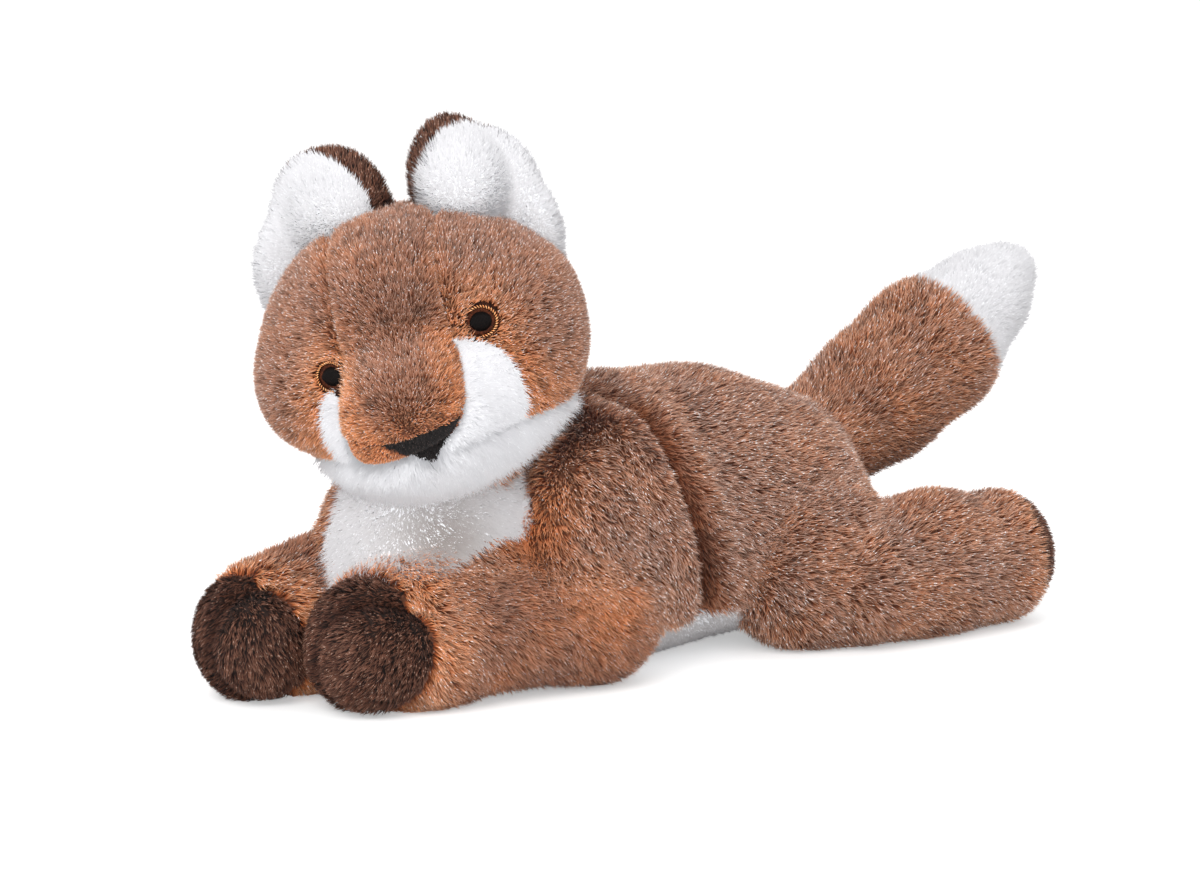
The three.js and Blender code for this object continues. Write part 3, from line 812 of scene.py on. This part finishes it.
# The neck: a ball of stuffing in brown cloth, which joins the trunk and the head.
# The fur hides it: brown pile on the nape and white pile on the throat.
neck_pivot, neck_half = np.array([0, -62, 84.0]), (24, 24, 24)
neck = skin_over("neck_cloth", egg(neck_pivot, neck_half), neck_pivot, neck_half)
root, normal = scatter(neck, per_mm2=1.6, seed=60)
ahead = root[:, 1] < -72
comb = np.tile([0.0, 0.6, -1.0], (len(root), 1))
for part, mine, slot in (
    ("nape_pile", ~ahead, "plush_brown"),
    ("throat_pile", ahead, "plush_white"),
):
    tuft = pile(part, slot, root[mine], normal[mine], comb[mine], np.full(mine.sum(), 6.0),
                np.full(mine.sum(), 0.3), seed=61)
    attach(tuft, "neck")
neck.data.materials.append(PLUSH["plush_brown"][1])
select_only(neck)
bpy.ops.object.shade_smooth()
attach(neck, "neck")
stuff(neck, "neck_cloth", ["neck_filling"])

# The trunk: chest, shoulders, barrel and rump sewn from six panels, pressed flat where it lies.
# A deep crease runs over the back where the toy bends behind its shoulders.
nod_axis = Vector((math.cos(math.radians(head_yaw)), math.sin(math.radians(head_yaw)), 0))
# The head's turns over the range of its two joints; the trunk is hollowed to clear them all.
head_poses = [
    np.array(Matrix.Rotation(math.radians(turn), 3, "Z") @ Matrix.Rotation(math.radians(nod), 3, nod_axis))
    for turn in (-20, -10, 0, 10, 20)
    for nod in (-8, 8)
]
trunk_shape = stuffed([
    egg((-6, -66, 45), (36, 37, 40)),
    egg((32, -19, 45), (17, 32, 42)),
    egg((-33, -44, 43), (16, 36, 41)),
    egg((2, 0, 49), (40, 54, 49.2)),
    egg((0, 42, 48.5), (43, 50, 46.8)),
    egg((0, 76, 42.6), (45, 38, 41)),
    egg((2, 10, 21), (34, 68, 21.4)),
], 4)
trunk_rise = np.array([0, 0, 2.55])


def trunk_lobes(points):
    """The trunk's form, set so high that its underside just meets the floor."""
    return trunk_shape(points - trunk_rise)


def tapered(start, start_radius, end, end_radius):
    """A limb that tapers evenly from one round end to the other."""
    start, run = np.array(start, float), np.array(end, float) - np.array(start, float)

    def depth(points):
        offset = points - start
        along = np.clip(offset @ run / (run @ run), 0, 1)
        radius = start_radius + (end_radius - start_radius) * along
        return np.linalg.norm(offset - along[:, None] * run, axis=1) - radius

    return depth


def front_leg_form(elbow, paw):
    """Forearm, full wrist and paw."""
    run = (np.array(paw, float) - elbow) / np.linalg.norm(np.array(paw, float) - elbow)
    wrist = np.array(paw) - 21 * run
    return stuffed([
        tapered((*elbow, 25), 19.5, (*wrist, 22.5), 19),
        egg((*wrist, 25), (19, 23, 24.3)),
        tapered((*wrist, 22), 19, (*paw, 21), 18),
        egg((*paw, 22.6), (18.8, 20.5, 22.6)),
    ], 2.5)


def hind_leg_form(sign):
    """Haunch, shin and foot."""
    return stuffed([
        egg((sign * 40, 74, 28), (20, 30, 28.5)),
        tapered((sign * 50, 88, 23), 20.5, (sign * 56, 148, 21), 17),
        egg((sign * 52.5, 119, 25.5), (20, 31, 24.6)),
        egg((sign * 56, 151, 25.5), (19, 17.5, 21)),
    ], 3)


tail_form = stuffed([
    tapered((0, 104, 61), 17, (4, 138, 79), 22),
    tapered((4, 138, 79), 22, (7, 163, 95), 23.2),
    tapered((7, 163, 95), 23.2, (9, 188, 112), 15),
    tapered((9, 188, 112), 16, (10, 199, 120), 9),
], 2)
left_leg_ends, right_leg_ends = ((31, -26), (13, -106)), ((-31, -44), (-26, -125))
# Each limb's form, how high and how far from it the trunk flares, and how deep in it pile still grows.
limbs = (
    (front_leg_form(*left_leg_ends), 4, 14, 40),
    (front_leg_form(*right_leg_ends), 4, 14, 40),
    (hind_leg_form(1), 5, 20, 9),
    (hind_leg_form(-1), 5, 20, 9),
    (tail_form, 3, 10, 6),
)


def flared(points, normals, form, height, width):
    """The cloth rises towards the seam with a neighbour, so that the two run into each other."""
    near = np.clip(1 - form(points) / width, 0, 1)
    return points + normals * (height * near ** 2)[:, None]


def trunk_form(points):
    """The trunk, hollowed for every place that the head can turn to."""
    head_reach, gap = 85, 1.0
    depth = trunk_lobes(points)
    near = np.linalg.norm(points - head_centre, axis=1) < head_reach
    if near.any():
        close = points[near]
        room_left = np.min([
            head_form(into_head((close - neck_pivot) @ turned + neck_pivot)) for turned in head_poses
        ], axis=0)
        depth[near] = np.maximum(depth[near], gap - room_left)
    return depth


lowest_cloth = 0.1


def rest_on_floor(skin, points, sink=0.0):
    """Puts a form in the mesh, lowered by the sinking and pressed flat where it meets the floor."""
    points[:, 2] -= sink
    points[:, 2] = np.maximum(points[:, 2], lowest_cloth)
    put_points(skin, points)


def settle(skin):
    """Sets a form half a millimetre into the floor and presses it flat there."""
    points = points_of(skin)
    rest_on_floor(skin, points, points[:, 2].min() + 0.5)


trunk_skin = skin_over("trunk_skin", trunk_form, np.array([0, 0, 48.0]), (50, 105, 50), subdivisions=6)
settle(trunk_skin)
belly_line, chest_sides, chest_back = 19, (-13, 29), -48
crease_middle = np.array([0, 13, 42])
crease_normal = np.array([0, 1, 0.35]) / math.hypot(1, 0.35)
TRUNK = [
    ("left_shoulder", "plush_brown"), ("right_shoulder", "plush_brown"), ("chest", "plush_white"),
    ("left_back", "plush_brown"), ("right_back", "plush_brown"), ("belly", "plush_white"),
]


def behind_crease(points):
    return (points - crease_middle) @ crease_normal


def crease_span(height):
    """1 where the crease is deep; it runs out above the belly and under the ruff."""
    return np.clip((height - 14) / 16, 0, 1) * np.clip((97 - height) / 9, 0, 1)


def trunk_panel(points):
    """Which of TRUNK a point lies on."""
    x, y, z = points.T
    ahead = behind_crease(points) < 0
    found = np.where(ahead, np.where(x > 0, 0, 1), np.where(x > 0, 3, 4))
    chest = ahead & (x > chest_sides[0]) & (x < chest_sides[1]) & (y < chest_back)
    chest &= z > belly_line + 1.43 * (x - 8)
    found = np.where(chest, 2, found)
    return np.where(z < belly_line, 5, found)


local = points_of(trunk_skin)
fold = behind_crease(local)
groove = 13 * np.exp(-(fold / 5) ** 2)
groove -= 6 * np.exp(-((fold + 11) / 7) ** 2) + 2.5 * np.exp(-((fold - 11) / 6) ** 2)
groove *= crease_span(local[:, 2])
local -= normals_of(trunk_skin) * groove[:, None]
for form, height, width, _ in limbs:
    local = flared(local, normals_of(trunk_skin), form, height, width)
rest_on_floor(trunk_skin, local)

root, normal = scatter(trunk_skin, per_mm2=4.8, seed=70)
panel = trunk_panel(root)
x, y, z = root.T
ones = np.ones(len(root))
fold, folded = behind_crease(root), crease_span(z)
comb = np.stack([0.3 * np.sign(x), ones, -0.15 - 0.35 * np.abs(x) / 45], 1)
shoulder_comb = np.stack([0.1 * np.sign(x), 0.45 * ones, -0.9 * ones], 1)
comb = np.where((fold < 0)[:, None], shoulder_comb, comb)
warm_elbow = np.array([48, -34, 32])
warmth_and_painted_shade = 0.14 + 0.24 * drift(root, 14, 7) + 0.2 * drift(root, 5, 8)
warmth_and_painted_shade += 0.8 * fade(root, warm_elbow, 13)
warmth_and_painted_shade += np.where(fold < 0, 0.35 * np.clip((-30 - y) / 25, 0, 1), 0)
warmth_and_painted_shade += 0.12 * np.clip((40 - z) / 30, 0, 1)
# Painted shade on the chest: a patch under the head's ruff is drawn greyer and darker.
painted_chest_shade = fade(root, (22, -84, 58), 18)
warmth_and_painted_shade = np.where(panel == 2, 0.3 + 0.7 * painted_chest_shade, np.where(panel == 5, 0.48, warmth_and_painted_shade))
warmth_and_painted_shade += 0.5 * fade(root, (33, -48, 62), 14) * (panel == 0)
length = np.select([panel == 2, panel == 5], [6.5, 2.6], 5.6)
length *= 1 - 0.55 * folded * np.exp(-(fold / 4.5) ** 2)
shade = np.select([panel == 2, panel == 5], [0.95 - 0.55 * painted_chest_shade, 1], 0.95)
# Painted shade in the crease behind the shoulders: the fibres there take their darker root colours.
shade -= 0.45 * folded * np.exp(-((fold - 3) / 5) ** 2)
# Painted shade in the fold between the chest and the left sleeve: a patch of darker fibres.
shade -= 0.3 * fade(root, (31, -52, 57), 13)
rng = np.random.default_rng(71)
share = np.select([panel == 2, (panel == 1) | (panel == 4), panel == 5], [1, 0.4, 0.46], 0.56)
keep = rng.random(len(root)) < share
keep &= (z > 0.6) | (rng.random(len(root)) < 0.08)
for form, _, _, grown in limbs:
    keep &= form(root) > -grown
panels = sew(trunk_skin, trunk_panel, TRUNK)
for number, (name, slot) in enumerate(TRUNK):
    mine = keep & (panel == number)
    is_white = slot == "plush_white"
    tuft = pile(
        name + "_pile", slot, root[mine], normal[mine], comb[mine], length[mine], warmth_and_painted_shade[mine],
        seed=72 + number, sheared_and_painted_shade=shade[mine], smooth=0.9 if is_white else 0.5,
        pull=0.12 if is_white else 0.28, lean=(28, 62) if name == "chest" else (22, 58),
    )
    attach(tuft, "torso")
    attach(panels[number], "torso")
    cad = ["belly_panel", "body_filling"] if name == "belly" else [name + "_panel"]
    stuff(panels[number], name + "_cloth", cad)

# The front legs: sleeves of the brown plush with a dark paw sewn from a band and a round pad.
# The toy lies on them; the right one reaches further forward.
FRONT_LEG = [("sleeve", "plush_brown"), ("paw_band", "plush_dark"), ("paw_pad", "plush_dark")]
camera_right = np.array([math.cos(azimuth), math.sin(azimuth), 0])
# How deep inside the trunk the pile of a leg still grows.
buried = 5


def towards(direction):
    """A direction on the front of the toy, from its azimuth and elevation."""
    turn, rise = math.radians(direction[0]), math.radians(direction[1])
    return np.array([
        math.cos(rise) * math.sin(turn), -math.cos(rise) * math.cos(turn), math.sin(rise),
    ])


for side, sign, elbow, paw, pad_faces, cuff_faces, nap in (
    ("left", 1, *left_leg_ends, (57, -8), (22, 1), (-0.8, -0.6)),
    ("right", -1, *right_leg_ends, (66, -3), (19, -15), (0.25, -0.9)),
):
    middle = np.array([(elbow[0] + paw[0]) / 2, (elbow[1] + paw[1]) / 2, 22])
    leg = skin_over(side + "_leg_skin", front_leg_form(elbow, paw), middle, (24, 58, 28))
    settle(leg)
    run = np.array([paw[0] - elbow[0], paw[1] - elbow[1], 0.0])
    run /= np.linalg.norm(run)
    cuff_facing, facing = towards(cuff_faces), towards(pad_faces)
    cuff = np.array([*paw, 22]) + 0.5 * cuff_facing
    pad_seam = np.array([*paw, 22]) + 9 * facing

    def leg_panel(points, cuff=cuff, cuff_facing=cuff_facing, pad_seam=pad_seam, facing=facing):
        dark = (points - cuff) @ cuff_facing > 0
        pad = (points - pad_seam) @ facing > 0
        return np.where(dark, np.where(pad, 2, 1), 0)

    local = flared(points_of(leg), normals_of(leg), trunk_lobes, height=4, width=14)
    groove = 2.0 * np.exp(-((local - cuff) @ cuff_facing / 1.8) ** 2)
    dark = (local - cuff) @ cuff_facing > -1
    groove += np.where(dark, 4.6 * np.exp(-((local - pad_seam) @ facing / 2.4) ** 2), 0)
    local -= normals_of(leg) * groove[:, None]
    rest_on_floor(leg, local)
    root, normal = scatter(leg, per_mm2=3.6 - 0.6 * (sign < 0), seed=80 + sign)
    panel = leg_panel(root)
    shown = trunk_lobes(root) >= -buried
    back_from_cuff = (cuff - root) @ cuff_facing
    to_seam = np.abs((root - pad_seam) @ facing)
    comb = np.tile(-0.7 * run, (len(root), 1)) + np.array([0, 0, -0.6])
    brushed = camera_right * nap[0] + np.array([0, 0, nap[1]])
    comb = np.where((panel == 2)[:, None], brushed, comb)
    comb = np.where((panel == 1)[:, None], run + brushed * 0.5, comb)
    warmth_and_painted_shade = 0.18 + 0.28 * drift(root, 12, 9) + 0.2 * drift(root, 4, 10)
    warmth_and_painted_shade += 0.7 * np.exp(-(back_from_cuff / 11) ** 2)
    warmth_and_painted_shade += 0.8 * fade(root, warm_elbow, 13)
    warmth_and_painted_shade = np.where(panel > 0, 0.2 + 0.35 * drift(root, 5, 30) + 0.2 * drift(root, 1.6, 32), warmth_and_painted_shade)
    length = np.where(panel == 0, 6.2, 1.2 + 3.2 * np.clip(to_seam / 4, 0, 1))
    tipped = 0.79 + 0.2 * np.exp(-(back_from_cuff / 12) ** 2)
    # Painted shade in the crease of the pad's seam: the fibres there take their darker root colours.
    shade = np.where(panel == 0, tipped, 1 - 0.6 * np.exp(-(to_seam / 2.8) ** 2))
    pivot = np.array([*elbow, 20.0])
    panels = sew(leg, leg_panel, FRONT_LEG)
    for number, (part, slot) in enumerate(FRONT_LEG):
        mine = shown & (panel == number)
        on_paw = number > 0
        tuft = pile(
            f"{side}_front_{part}_pile", slot, root[mine], normal[mine], comb[mine], length[mine],
            warmth_and_painted_shade[mine], seed=84 + number, sheared_and_painted_shade=shade[mine], lock=2.0 if on_paw else 1.7,
            pull=0.46 if on_paw else 0.28, lean=(26, 60) if on_paw else (34, 68),
        )
        cad = [f"{side}_front_{part}"]
        for piece in (tuft, panels[number]):
            if on_paw:
                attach(piece, side + "_front_leg")
            else:
                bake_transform(piece)
                cad = [f"{side}_front_sleeve", f"{side}_front_leg_filling"]
        stuff(panels[number], f"{side}_front_{part}_cloth", cad)

# The hind legs: one skin of brown plush from haunch to heel, stuffed and stretched out behind.
# A small dark sole is sewn into the end of each.
HIND_LEG = [("leg_skin", "plush_brown", 5.6), ("sole", "plush_dark", 4.0)]
for side, sign in (("left", 1), ("right", -1)):
    middle = np.array([sign * 50, 108, 25])
    leg = skin_over(side + "_hind_skin", hind_leg_form(sign), middle, (24, 52, 28))
    settle(leg)
    heel = np.array([sign * 57, 158, 23.0])
    sole = np.array([sign * 0.2, 1, 0.12])
    sole /= np.linalg.norm(sole)

    def hind_panel(points, heel=heel, sole=sole):
        return np.where((points - heel) @ sole > 0, 1, 0)

    local = flared(points_of(leg), normals_of(leg), trunk_lobes, height=5, width=20)
    groove = 1.3 * np.exp(-((local - heel) @ sole / 1.8) ** 2)
    local -= normals_of(leg) * groove[:, None]
    rest_on_floor(leg, local)
    root, normal = scatter(leg, per_mm2=2.7 - 0.6 * (sign < 0), seed=90 + sign)
    panel = hind_panel(root)
    shown = trunk_lobes(root) >= -buried
    comb = np.tile(np.array([sign * 0.12, 1, -0.22]), (len(root), 1))
    warmth_and_painted_shade = 0.18 + 0.26 * drift(root, 13, 11) + 0.2 * drift(root, 5, 12)
    warmth_and_painted_shade += 0.4 * np.exp(-(((root - heel) @ sole) / 8) ** 2)
    warmth_and_painted_shade = np.where(panel == 1, 0.25 + 0.4 * drift(root, 3.2, 31), warmth_and_painted_shade)
    pivot, backwards = np.array([sign * 30, 66, 20.0]), np.array([sign * 26, 86, 0.0])
    backwards /= np.linalg.norm(backwards)
    panels = sew(leg, hind_panel, HIND_LEG)
    for number, (part, slot, fibre) in enumerate(HIND_LEG):
        mine = shown & (panel == number)
        tuft = pile(
            f"{side}_hind_{part}_pile", slot, root[mine], normal[mine], comb[mine],
            np.full(mine.sum(), fibre), warmth_and_painted_shade[mine], seed=94 + number, sheared_and_painted_shade=0.94,
        )
        cad = [f"{side}_hind_{part}"]
        for piece in (tuft, panels[number]):
            if part == "sole":
                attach(piece, side + "_hind_leg")
            else:
                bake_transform(piece)
                cad = [f"{side}_hind_leg_skin", f"{side}_hind_leg_filling"]
        stuff(panels[number], f"{side}_hind_{part}_cloth", cad)

# The tail: a fat stuffed brush of brown plush with a white tip, carried high.
# It is sewn to the rump.
TAIL = [("tail_skin", "plush_brown", 5.8), ("tail_tip", "plush_white", 5.5)]
tail = skin_over("tail_skin", tail_form, np.array([5, 152, 88.0]), (24, 50, 40))
put_points(tail, flared(points_of(tail), normals_of(tail), trunk_lobes, height=3, width=12))
tip_seam, along_tail = np.array([7.5, 170, 98.7]), np.array([0.05, 0.86, 0.5])


def tail_panel(points):
    return np.where((points - tip_seam) @ along_tail > 0, 1, 0)


root, normal = scatter(tail, per_mm2=2.9, seed=100)
panel = tail_panel(root)
tail_buried = 6
shown = trunk_lobes(root) >= -tail_buried
comb = np.tile(along_tail, (len(root), 1))
warmth_and_painted_shade = 0.36 + 0.26 * drift(root, 13, 13) + 0.2 * drift(root, 5, 14)
warmth_and_painted_shade = np.where(panel == 1, 0.16, warmth_and_painted_shade)
panels = sew(tail, tail_panel, TAIL)
for number, (part, slot, fibre) in enumerate(TAIL):
    mine = shown & (panel == number)
    tuft = pile(
        part + "_pile", slot, root[mine], normal[mine], comb[mine], np.full(mine.sum(), fibre),
        warmth_and_painted_shade[mine], seed=104 + number, smooth=0.85 if number else 0.5, sheared_and_painted_shade=0.92, pull=0.16,
    )
    cad = [part]
    for piece in (tuft, panels[number]):
        if part == "tail_tip":
            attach(piece, "tail")
        else:
            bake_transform(piece)
            cad = ["tail_skin", "tail_filling"]
    stuff(panels[number], part + "_cloth", cad)
